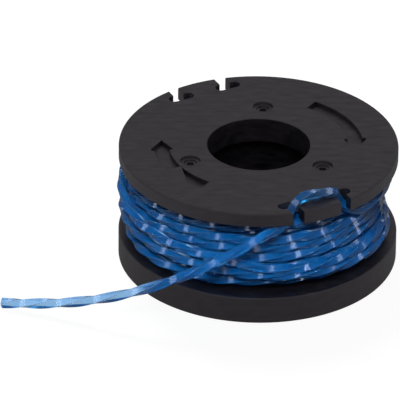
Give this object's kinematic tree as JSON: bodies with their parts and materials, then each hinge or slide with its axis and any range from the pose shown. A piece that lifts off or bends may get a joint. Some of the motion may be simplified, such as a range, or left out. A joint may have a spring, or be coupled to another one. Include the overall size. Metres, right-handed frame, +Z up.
{
  "type": "trimmer line spool",
  "caption": "Two-flange moulded spool wound with blue trimmer line, whose free end is hooked through the line slots of the upper flange.",
  "frame": {"origin": "on the spool's axis, at the level of the lower flange's bottom", "axes": "+Z up the spool's axis towards the slotted flange, -Y towards the side where the line leaves the slots, +X to the right seen from there"},
  "size_m": [0.0706, 0.0526, 0.0242],
  "materials": {
    "spool_plastic": "matte moulded glass-filled nylon",
    "line_nylon": "clear blue extruded nylon"
  },
  "bodies": {
    "root": {"spool_body": "spool_plastic", "line_winding": "line_nylon", "line_tail": "line_nylon"}
  },
  "joints": []
}
